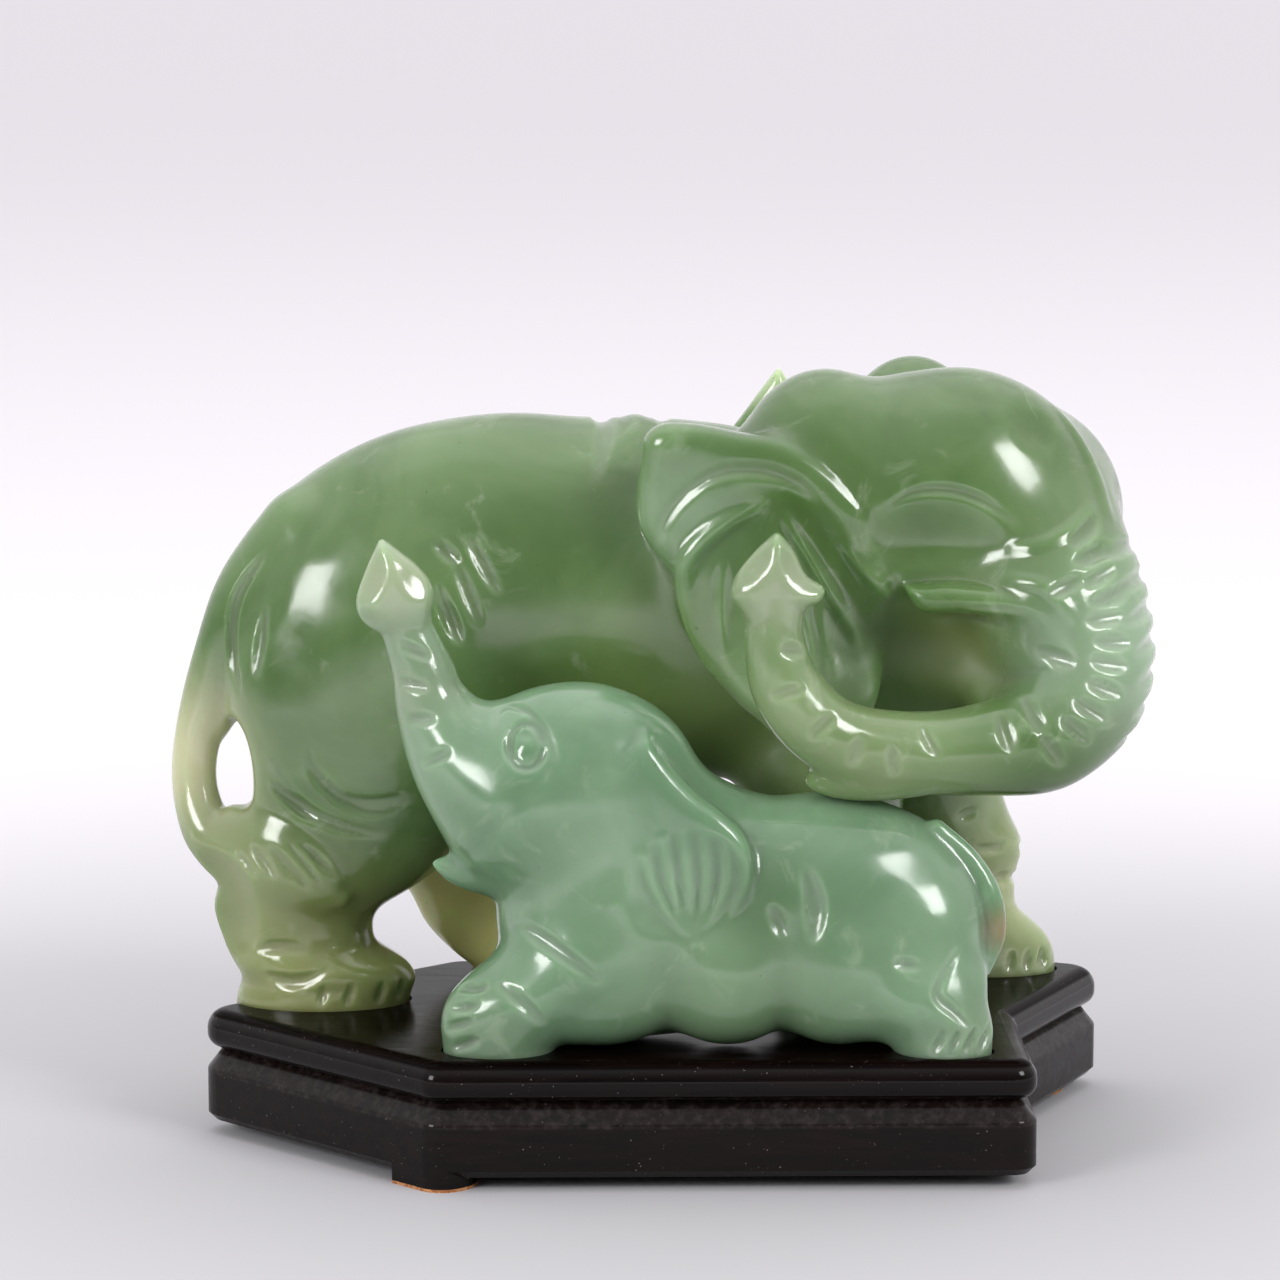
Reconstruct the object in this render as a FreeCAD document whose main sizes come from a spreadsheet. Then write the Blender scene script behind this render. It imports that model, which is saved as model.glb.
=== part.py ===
import FreeCAD, Part
import math
import os

import Sketcher

# A stone carving of a cow elephant and her calf on a stepped wooden stand, in millimetres.
# +Z is up, and the origin is on the floor under the middle of the whole piece. The cow faces +X
# with her head turned towards -Y, where the calf stands with its head towards -X.
# The stand is a top board on a base board, held by two dowels, on four corner feet with thin pads.
# The two stones stand in shallow sockets in the top board and lift straight off it.

V = FreeCAD.Vector
Y_AXIS = V(0, 1, 0)
Z_AXIS = V(0, 0, 1)

# Driving dimensions of the stand: alias, value, meaning.
STAND_SIZES = [
    ("stand_height", 21.0, "floor to the top of the upper board"),
    ("top_board_thick", 6.4, "upper board"),
    ("foot_height", 2.2, "floor to the underside of the base board"),
    ("pad_thick", 0.5, "pad under each foot"),
    ("round_corner", 6.0, "plan radius of the left and back corners"),
    ("crisp_corner", 4.0, "plan radius of the two front corners"),
    ("notch_corner", 2.5, "plan radius of the inward corner"),
    ("top_edge_round", 3.2, "upper rounding of the top board"),
    ("under_edge_round", 2.4, "lower rounding of the top board"),
    ("shoulder_in", 2.8, "base board shoulder, inwards"),
    ("shoulder_down", 3.6, "base board shoulder, downwards"),
    ("shoulder_round", 0.9, "rounding below the shoulder"),
    ("base_chamfer", 1.2, "lower edge of the base board"),
    ("socket_depth", 0.8, "depth of each socket"),
    ("socket_gap", 0.4, "gap round a carved foot in its socket"),
    ("dowel_radius", 2.0, "dowel"),
    ("dowel_length", 8.0, "dowel, half of it in each board"),
    ("dowel_gap", 0.05, "glue line round a dowel"),
]

# Plan of both boards: corner, X, Y, and the alias of its plan radius, anticlockwise from the left.
CORNERS = [
    ("left_tip", -78.0, 1.0, "round_corner"),
    ("front_left", -36.0, -41.0, "crisp_corner"),
    ("front_right", 62.0, -38.8, "crisp_corner"),
    ("notch", 61.0, -2.0, "notch_corner"),
    ("back_right", 79.5, 37.0, "round_corner"),
    ("back_mid", 70.0, 41.0, "round_corner"),
    ("back_left", -36.0, 41.0, "round_corner"),
]

# Corner feet: name, centre and radius of the bounding disc. The front left foot meets the corner
# of the board, and the others stand further in.
FEET = [
    ("front_left", -35.4, -34.3, 7.0),
    ("front_right", 55.5, -24.0, 5.2),
    ("back_right", 65.5, 30.0, 6.0),
    ("back_left", -35.0, 32.0, 6.0),
]

# Dowel centres across the joint between the boards.
DOWELS = [("left", -32.0, 3.0), ("right", 8.0, 3.0)]

# Rounded masses: name, centre X Y Z, radii along X Y Z, lean about +Y in degrees.
COW_MASSES = [
    ("torso", -24, 19, 87, 48, 22, 33, 0),
    ("shoulders", 18, 20, 86, 30, 20, 31, 0),
    ("near_haunch", -50, 11, 72, 22, 13, 32, 0),
    ("far_haunch", -44, 29, 72, 22, 11, 30, 0),
    ("skull", 47, 6, 100, 33, 23, 28.5, 0),
    ("far_temple", 60, 16, 104, 19.5, 14, 20, 0),
    ("muzzle", 65.5, -4, 86, 16.5, 16, 20, 0),
    ("throat", 42, 9, 79, 22, 13, 17, 0),
    ("near_ear", 17, -4, 92, 18, 4.6, 31, -22),
    ("far_ear", 18, 34, 110, 9, 4, 17, 8),
    ("tusk", 53, -15, 90.5, 14, 3.2, 2.8, 8),
    ("trunk_tip_lobes", 20.5, -26, 94.5, 6.8, 3.5, 2.6, 0),
]
CALF_MASSES = [
    ("calf_rump", 28, -20, 41.6, 28, 14, 20, 0),
    ("calf_shoulders", 0, -20, 44, 24, 15, 22.5, 0),
    ("calf_chest", -10, -21, 41.5, 15, 13, 20, 0),
    ("calf_fore_belly", -9, -25.6, 33.8, 14, 9.6, 12.2, 0),
    ("calf_mid_belly", 12, -25.6, 34.2, 13, 9.8, 12.4, 0),
    ("calf_hind_belly", 30.5, -25.6, 33.9, 12, 9.6, 12.2, 0),
    ("calf_skull", -13, -21, 62, 21, 14, 18, 0),
    ("calf_ear", 6, -34.5, 55.5, 10, 3, 16, 10),
    ("calf_trunk_lobes", -42, -22, 92.8, 6, 3.4, 2.4, -15),
]

# Limbs: name, then stations of X Y Z with the radius across the limb in the XZ plane and the
# radius along Y. Upright limbs start with a straight foot that stands in a socket.
COW_LIMBS = [
    ("near_hind_leg", [
        (-56.4, 8, 20.2, 14.8, 10.0), (-56.4, 8, 23, 14.8, 10.0), (-59.5, 9, 31, 12.6, 9.6),
        (-57.5, 10, 40, 14.8, 11.0), (-50.5, 11, 52, 18.5, 12.0), (-49, 11, 66, 20.0, 12.0)]),
    ("far_hind_leg", [
        (-20.5, 31, 20.2, 11.0, 8.0), (-20.5, 31, 23, 11.0, 8.0), (-26, 31, 32, 11.0, 8.4),
        (-33, 30, 44, 15.0, 9.6), (-38, 29, 60, 18.0, 10.5)]),
    ("far_front_leg", [
        (58.0, 33, 20.2, 12.3, 7.6), (58.0, 33, 23, 12.3, 7.6), (54.5, 32, 33, 9.4, 7.6),
        (53.5, 31, 44, 10.6, 9.0), (47, 28, 60, 14.0, 11.0), (40, 24, 74, 17.0, 12.0)]),
    ("near_front_leg", [
        (32.0, 10.5, 20.2, 11.5, 8.0), (32.0, 10.5, 23, 11.5, 8.0), (31, 11, 34, 9.8, 8.0),
        (30, 12, 48, 12.0, 9.4), (26, 14, 68, 17.0, 12.0)]),
    ("trunk", [
        (67, -6, 90, 13.5, 12.0), (70.3, -10, 79, 11.0, 10.4), (64.5, -15, 71, 9.2, 9.0),
        (54, -19.5, 69, 7.3, 7.0), (41, -23, 68.6, 6.4, 6.2), (29, -25, 71.6, 6.2, 6.0),
        (21.6, -26, 79.5, 5.7, 5.4), (19.6, -26, 88, 5.0, 4.8), (20, -26, 96, 4.2, 3.4),
        (19.8, -26, 103.7, 1.3, 1.2)]),
    ("tail", [
        (-64, 14, 97, 5.0, 4.4), (-72.4, 14, 81, 4.4, 4.0), (-76.8, 13.5, 69, 4.0, 3.8),
        (-78.2, 12.5, 58, 4.0, 3.8), (-75.4, 10, 49, 4.4, 3.9), (-69, 6, 44.6, 5.0, 3.9),
        (-60, 1.5, 43, 4.6, 3.3), (-51, -0.5, 41.5, 2.0, 1.8)]),
]
CALF_LIMBS = [
    ("calf_near_fore_leg", [
        (-25.5, -30, 20.2, 8.6, 6.2), (-25.5, -30, 22.6, 8.6, 6.2), (-23, -29, 28, 9.6, 7.2),
        (-13, -25, 38, 13.0, 10.0)]),
    ("calf_far_fore_leg", [
        (-17, -13.5, 20.2, 7.6, 5.4), (-17, -13.5, 22.6, 7.6, 5.4), (-15, -14, 28, 8.4, 6.0),
        (-9, -17, 38, 11.0, 8.0)]),
    ("calf_near_hind_leg", [
        (47.3, -30.5, 20.2, 7.6, 5.4), (47.3, -30.5, 22.6, 7.6, 5.4), (44.5, -29, 29, 8.2, 6.6),
        (38, -25, 40, 13.0, 9.5)]),
    ("calf_far_hind_leg", [
        (42, -13, 20.2, 7.6, 5.4), (42, -13, 22.6, 7.6, 5.4), (40.5, -14, 29, 8.2, 6.0),
        (35, -17, 40, 12.0, 9.0)]),
    ("calf_trunk", [
        (-24, -22, 58, 11.0, 10.0), (-31.5, -22, 66, 7.8, 7.6), (-36.4, -22, 74.5, 5.8, 5.8),
        (-38.8, -22, 82, 5.1, 5.0), (-41, -22, 89, 5.2, 4.6), (-42.4, -22, 95.5, 4.4, 3.4),
        (-43.6, -22, 102.2, 1.3, 1.2)]),
    ("calf_lower_lip", [
        (-17, -22, 54, 6.2, 6.0), (-26, -22, 50.8, 3.6, 3.6), (-33.6, -22, 49.8, 1.1, 1.1)]),
    ("calf_tail", [
        (53, -21, 52, 2.4, 2.2), (56.2, -22, 44, 2.1, 2.0), (55.6, -22, 36, 1.7, 1.6)]),
]

# Latitudes of the ovals that a rounded mass is lofted through, in degrees.
LATITUDES = (-78, -58, -38, -18, 0, 18, 38, 58, 78)

doc = FreeCAD.newDocument("elephant_carving")
sheet = doc.addObject("Spreadsheet::Sheet", "sizes")


def size_rows():
    """Every named size as alias, value and meaning."""
    yield from STAND_SIZES
    for name, x, y, _ in CORNERS:
        yield f"{name}_x", x, f"board corner {name}"
        yield f"{name}_y", y, f"board corner {name}"
    for name, x, y, reach in FEET:
        yield f"foot_{name}_x", x, f"foot {name}"
        yield f"foot_{name}_y", y, f"foot {name}"
        yield f"foot_{name}_reach", reach, f"foot {name}"
    for name, x, y in DOWELS:
        yield f"dowel_{name}_x", x, f"dowel {name}"
        yield f"dowel_{name}_y", y, f"dowel {name}"
    for name, *values in COW_MASSES + CALF_MASSES:
        for field, value in zip(("x", "y", "z", "rx", "ry", "rz"), values):
            yield f"{name}_{field}", value, f"{name} mass"
    for name, stations in COW_LIMBS + CALF_LIMBS:
        for number, station in enumerate(stations):
            for field, value in zip(("x", "y", "z", "across", "side"), station):
                yield f"{name}_{number}_{field}", value, f"{name} station {number}"


def fill_sheet():
    """Write each size on its own row: its meaning, then its value under its alias."""
    for row, (alias, value, meaning) in enumerate(size_rows(), 1):
        sheet.set(f"A{row}", meaning)
        sheet.set(f"B{row}", str(value))
        sheet.setAlias(f"B{row}", alias)
    doc.recompute()


def size(alias):
    """Read one named size back from the sheet."""
    return float(sheet.get(alias))


def bind(obj, **expressions):
    """Bind properties to sheet cells; a double underscore stands for a dot."""
    for name, expression in expressions.items():
        obj.setExpression(name.replace("__", "."), expression)


# --- the stand ---------------------------------------------------------------------------------

def origin_plane(body, role):
    return next(feature for feature in body.Origin.OriginFeatures if feature.Role == role)


def corner_sketch(body):
    """Closed polygon through the board corners, each corner held by two bound distances."""
    sketch = body.newObject("Sketcher::SketchObject", "outline")
    sketch.AttachmentSupport = (origin_plane(body, "XY_Plane"), [""])
    sketch.MapMode = "FlatFace"
    points = [V(x, y, 0) for _, x, y, _ in CORNERS]
    count = len(points)
    for index in range(count):
        sketch.addGeometry(Part.LineSegment(points[index], points[(index + 1) % count]), False)
    for index in range(count):
        sketch.addConstraint(Sketcher.Constraint("Coincident", index, 2, (index + 1) % count, 1))
    for index, (corner, x, y, _) in enumerate(CORNERS):
        for axis, value in (("X", x), ("Y", y)):
            number = sketch.addConstraint(
                Sketcher.Constraint(f"Distance{axis}", -1, 1, index, 1, value))
            sketch.setExpression(f"Constraints[{number}]", f"sizes.{corner}_{axis.lower()}")
    doc.recompute()
    return sketch


def upright_edges(shape, radius_alias):
    """Names of the upright edges at the corners that use one plan radius."""
    corners = [(x, y) for _, x, y, alias in CORNERS if alias == radius_alias]
    names = []
    for number, edge in enumerate(shape.Edges, 1):
        box = edge.BoundBox
        upright = box.ZLength > 0.1 and box.XLength < 1e-6 and box.YLength < 1e-6
        if upright and any(math.dist((box.XMin, box.YMin), corner) < 0.01 for corner in corners):
            names.append(f"Edge{number}")
    return names


def level_edges(shape, height):
    """Names of the edges that lie wholly at one height."""
    return [f"Edge{number}" for number, edge in enumerate(shape.Edges, 1)
            if abs(edge.BoundBox.ZMin - height) < 1e-4 and abs(edge.BoundBox.ZMax - height) < 1e-4]


def dress(body, kind, base, edges, **expressions):
    """Add a fillet or chamfer on named edges of the base feature."""
    feature = body.newObject(f"PartDesign::{kind}", kind.lower())
    if "Size2" in expressions:
        feature.ChamferType = "Two distances"
    feature.Base = (base, edges)
    bind(feature, **expressions)
    doc.recompute()
    return feature


def board_blank(label, thickness):
    """Padded board outline with its plan corners rounded; returns the body and last feature."""
    body = doc.addObject("PartDesign::Body", label)
    pad = body.newObject("PartDesign::Pad", "board")
    pad.Profile = corner_sketch(body)
    bind(pad, Length=thickness)
    doc.recompute()
    last = pad
    for alias in ("round_corner", "crisp_corner", "notch_corner"):
        edges = upright_edges(last.Shape, alias)
        last = dress(body, "Fillet", last, edges, Radius=f"sizes.{alias}")
    return body, last


def drill(label, board, tools):
    """Cut the fused tools out of a board."""
    fused = doc.addObject("Part::MultiFuse", f"{label}_tools")
    fused.Shapes = tools
    cut = doc.addObject("Part::Cut", label)
    cut.Base = board
    cut.Tool = fused
    return cut


def cylinder(name, radius, height, x, y, z):
    piece = doc.addObject("Part::Cylinder", name)
    bind(piece, Radius=radius, Height=height, Placement__Base__x=x, Placement__Base__y=y,
         Placement__Base__z=z)
    return piece


def dowels(prefix, radius):
    """One cylinder per dowel, centred on the joint between the boards."""
    return [cylinder(f"{prefix}_{name}", radius, "sizes.dowel_length",
                     f"sizes.dowel_{name}_x", f"sizes.dowel_{name}_y",
                     "sizes.stand_height - sizes.top_board_thick - sizes.dowel_length / 2")
            for name, _, _ in DOWELS]


def socket_tool(limb):
    """Oval cutter a little larger than a carved foot, let into the top of the board."""
    oval = doc.addObject("Part::Ellipse", f"{limb}_socket_oval")
    bind(oval, MajorRadius=f"sizes.{limb}_0_across + sizes.socket_gap",
         MinorRadius=f"sizes.{limb}_0_side + sizes.socket_gap",
         Placement__Base__x=f"sizes.{limb}_0_x", Placement__Base__y=f"sizes.{limb}_0_y",
         Placement__Base__z="sizes.stand_height - sizes.socket_depth")
    cutter = doc.addObject("Part::Extrusion", f"{limb}_socket")
    cutter.Base = oval
    cutter.DirMode = "Custom"
    cutter.Dir = Z_AXIS
    cutter.Solid = True
    bind(cutter, LengthFwd="sizes.socket_depth * 2")
    return cutter


def make_top_board():
    body, last = board_blank("top_board_blank", "sizes.top_board_thick")
    bind(body, Placement__Base__z="sizes.stand_height - sizes.top_board_thick")
    for height, alias in ((size("top_board_thick"), "top_edge_round"), (0, "under_edge_round")):
        edges = level_edges(last.Shape, height)
        last = dress(body, "Fillet", last, edges, Radius=f"sizes.{alias}")
    sockets = [socket_tool(name) for name, _ in COW_LIMBS + CALF_LIMBS if name.endswith("_leg")]
    holes = dowels("top_hole", "sizes.dowel_radius + sizes.dowel_gap")
    return drill("stand_top_board", body, sockets + holes)


def make_base_board():
    thickness = "sizes.stand_height - sizes.top_board_thick - sizes.foot_height"
    body, last = board_blank("base_board_blank", thickness)
    bind(body, Placement__Base__z="sizes.foot_height")
    top = size("stand_height") - size("top_board_thick") - size("foot_height")
    last = dress(body, "Chamfer", last, level_edges(last.Shape, top),
                 Size="sizes.shoulder_down", Size2="sizes.shoulder_in")
    last = dress(body, "Fillet", last, level_edges(last.Shape, top - size("shoulder_down")),
                 Radius="sizes.shoulder_round")
    dress(body, "Chamfer", last, level_edges(last.Shape, 0), Size="sizes.base_chamfer")
    holes = dowels("base_hole", "sizes.dowel_radius + sizes.dowel_gap")
    return drill("stand_base_board", body, holes)


def make_dowels():
    group = doc.addObject("Part::Compound", "board_dowels")
    group.Links = dowels("dowel", "sizes.dowel_radius")
    return group


def make_foot_blank(label, thickness, height):
    """Rounded board outline, the stock that the feet or pads are cut from."""
    body, _ = board_blank(label, thickness)
    bind(body, Placement__Base__z=height)
    return body


def make_corner_piece(label, name, blank, base_board=None):
    """The part of a blank inside one foot's disc, scribed to the base board if given."""
    disc = cylinder(f"{label}_disc", f"sizes.foot_{name}_reach", "sizes.stand_height",
                    f"sizes.foot_{name}_x", f"sizes.foot_{name}_y", "0 mm")
    corner = doc.addObject("Part::Common", f"{label}_corner" if base_board else label)
    corner.Base = blank
    corner.Tool = disc
    if not base_board:
        return corner
    foot = doc.addObject("Part::Cut", label)
    foot.Base = corner
    foot.Tool = base_board
    return foot


# --- the two stones ----------------------------------------------------------------------------

def make_oval(name, lean, x, y, z, across, side):
    """Oval wire whose normal leans about +Y from upright; all sizes are expressions."""
    oval = doc.addObject("Part::Ellipse", name)
    oval.Placement = FreeCAD.Placement(V(), FreeCAD.Rotation(Y_AXIS, lean))
    bind(oval, MajorRadius=across, MinorRadius=side, Placement__Base__x=x,
         Placement__Base__y=y, Placement__Base__z=z)
    return oval


def make_mass(name, lean):
    """Ellipsoid with its own radii along X, Y and Z, leaning about Y, lofted through ovals."""
    ovals = []
    for latitude in LATITUDES:
        height = f"sizes.{name}_rz * sin({latitude} deg)"
        ovals.append(make_oval(
            f"{name}_oval_{len(ovals)}", lean,
            f"sizes.{name}_x + {height} * sin({lean} deg)", f"sizes.{name}_y",
            f"sizes.{name}_z + {height} * cos({lean} deg)",
            f"sizes.{name}_rx * cos({latitude} deg)", f"sizes.{name}_ry * cos({latitude} deg)"))
    mass = doc.addObject("Part::Loft", name)
    mass.Sections = ovals
    mass.Solid = True
    mass.Ruled = True
    return mass


def lean_of(stations, number):
    """Angle about +Y from upright of the path through the stations beside one station."""
    if stations[0][0] == stations[1][0] and number < 2:
        return 0.0
    before = stations[max(number - 1, 0)]
    after = stations[min(number + 1, len(stations) - 1)]
    return math.degrees(math.atan2(after[0] - before[0], after[2] - before[2]))


def make_limb(name, stations):
    """Loft through ovals square to the path of the stations."""
    ovals = []
    lean = 0.0
    for number in range(len(stations)):
        turn = (lean_of(stations, number) - lean + 180) % 360 - 180
        lean += turn
        cell = f"sizes.{name}_{number}"
        ovals.append(make_oval(f"{name}_oval_{number}", lean, f"{cell}_x", f"{cell}_y",
                               f"{cell}_z", f"{cell}_across", f"{cell}_side"))
    limb = doc.addObject("Part::Loft", name)
    limb.Sections = ovals
    limb.Solid = True
    limb.Ruled = True
    return limb


def make_carving(label, masses, limbs):
    """One stone: all its masses and limbs fused into a single solid."""
    carving = doc.addObject("Part::MultiFuse", label)
    carving.Shapes = ([make_mass(name, values[6]) for name, *values in masses]
                      + [make_limb(name, stations) for name, stations in limbs])
    return carving


# --- build, check and export -------------------------------------------------------------------

def build():
    fill_sheet()
    base_board = make_base_board()
    nodes = [make_top_board(), base_board, make_dowels()]
    foot_blank = make_foot_blank(
        "foot_blank", "sizes.foot_height + sizes.base_chamfer - sizes.pad_thick", "sizes.pad_thick")
    pad_blank = make_foot_blank("pad_blank", "sizes.pad_thick", "0 mm")
    for name, _, _, _ in FEET:
        nodes.append(make_corner_piece(f"foot_{name}", name, foot_blank, base_board))
        nodes.append(make_corner_piece(f"pad_{name}", name, pad_blank))
    nodes.append(make_carving("cow_carving", COW_MASSES, COW_LIMBS))
    nodes.append(make_carving("calf_carving", CALF_MASSES, CALF_LIMBS))
    doc.recompute()
    return nodes


def check(nodes):
    """Stop if any object failed or any node isn't the valid solids it should be."""
    for obj in doc.Objects:
        if "Invalid" in obj.State or "Error" in obj.State:
            raise RuntimeError(f"{obj.Label}: {obj.State}")
    for node in nodes:
        shape = node.Shape
        wanted = len(DOWELS) if node.Name == "board_dowels" else 1
        if shape.isNull() or not shape.isValid() or len(shape.Solids) != wanted:
            raise RuntimeError(f"{node.Name}: bad shape, {len(shape.Solids)} solids")


def export(nodes):
    os.makedirs("parts", exist_ok=True)
    for node in nodes:
        node.Label = node.Name
        node.Shape.exportStep(os.path.join("parts", f"{node.Name}.step"))
        box = node.Shape.BoundBox
        print(f"{node.Name}: {box.XLength:.1f} x {box.YLength:.1f} x {box.ZLength:.1f} mm, "
              f"{node.Shape.Volume / 1000:.1f} cm3")


made = build()
check(made)
export(made)
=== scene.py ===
import math

import bpy
import numpy as np
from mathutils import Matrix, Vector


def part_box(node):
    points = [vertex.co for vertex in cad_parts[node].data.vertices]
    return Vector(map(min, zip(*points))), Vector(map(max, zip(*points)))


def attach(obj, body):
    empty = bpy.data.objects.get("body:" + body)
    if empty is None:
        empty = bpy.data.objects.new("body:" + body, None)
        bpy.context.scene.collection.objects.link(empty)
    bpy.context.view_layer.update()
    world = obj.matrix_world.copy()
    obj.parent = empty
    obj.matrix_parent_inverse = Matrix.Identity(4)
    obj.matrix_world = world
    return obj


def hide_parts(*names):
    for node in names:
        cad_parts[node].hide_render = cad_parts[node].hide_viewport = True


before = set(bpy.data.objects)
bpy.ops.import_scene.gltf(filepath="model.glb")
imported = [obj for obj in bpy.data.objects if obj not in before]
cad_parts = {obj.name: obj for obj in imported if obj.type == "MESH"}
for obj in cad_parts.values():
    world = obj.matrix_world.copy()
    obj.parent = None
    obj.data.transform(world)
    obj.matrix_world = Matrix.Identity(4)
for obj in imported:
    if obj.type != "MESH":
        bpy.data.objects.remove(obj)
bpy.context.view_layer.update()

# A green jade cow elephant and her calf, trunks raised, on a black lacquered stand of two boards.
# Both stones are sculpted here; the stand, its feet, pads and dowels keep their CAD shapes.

import openvdb
from mathutils import Vector

MM = 0.001

# ------------------------------------------------------------------------------------------------
# Sculpting tools. A Stone is a grid of signed distances in millimetres, in the row frame.
# ------------------------------------------------------------------------------------------------

VOXEL = 0.42
MOST_TRIANGLES = 190_000

# The distance of an empty grid, and a length that is more than any stone's.
FAR = 40.0
BEYOND = 500

# Thickness of a fan at its outline as a share of its middle, and the rounding of its edge.
THIN_EDGE = 0.38
EDGE_ROUND = 1.0

# Spacing of the points along a cut, the sharpness of its edges, and how far its frosting spreads.
STROKE_STEP = 0.6
CRISP = 0.25
FROST_REACH = 0.4

# Two trains of waves in the polished surface: their scale and their phases along X, Y and Z.
RIPPLES = ((1.0, (0.0, 0.7, 0.0)), (0.53, (1.3, 0.7, 2.1)))

PILLAR_TOP_ROUND = 14.0

# Viewing side: the axis looked along, and the direction of the look.
SIDES = {"front": (1, 1), "back": (1, -1), "right": (0, -1), "top": (2, -1)}


def spline(points, count):
    """Catmull-Rom curve through the rows of points, resampled to count rows."""
    points = np.asarray(points, float)
    if len(points) == 2:
        share = np.linspace(0, 1, count)[:, None]
        return points[0] * (1 - share) + points[1] * share
    ends = np.vstack([2 * points[0] - points[1], points, 2 * points[-1] - points[-2]])
    at = np.linspace(0, len(points) - 1, count)
    span = np.minimum(at.astype(int), len(points) - 2)
    t = (at - span)[:, None]
    a, b, c, d = (ends[span + i] for i in range(4))
    return 0.5 * (2 * b + (c - a) * t + (2 * a - 5 * b + 4 * c - d) * t ** 2
                  + (3 * b - a - 3 * c + d) * t ** 3)


def steady(rows, times=3):
    """Rows of numbers smoothed along the list, the ends held."""
    for _ in range(times):
        padded = np.vstack([rows[:1], rows, rows[-1:]])
        rows = (padded[:-2] + 2 * padded[1:-1] + padded[2:]) / 4
    return rows


def unbroken(points, jump=2.5):
    """Longest run of points in which no neighbours are further apart than a jump."""
    breaks = np.flatnonzero(np.linalg.norm(np.diff(points, axis=0), axis=1) > jump) + 1
    return max(np.split(points, breaks), key=len)


def path_length(points):
    """Length of a broken line through points."""
    points = np.asarray(points, float)
    return float(np.linalg.norm(np.diff(points, axis=0), axis=1).sum())


def soft_min(a, b, reach):
    """Smaller of two distances, rounded where they are within reach of each other."""
    share = np.clip(0.5 + 0.5 * (b - a) / reach, 0, 1)
    return b + share * (a - b) - reach * share * (1 - share)


def oval(u, v, ru, rv):
    """Near-true distance from the outline of an oval."""
    size = np.sqrt((u / ru) ** 2 + (v / rv) ** 2)
    slope = np.sqrt((u / ru ** 2) ** 2 + (v / rv ** 2) ** 2)
    return size * (size - 1) / np.maximum(slope, 1e-6)


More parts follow.
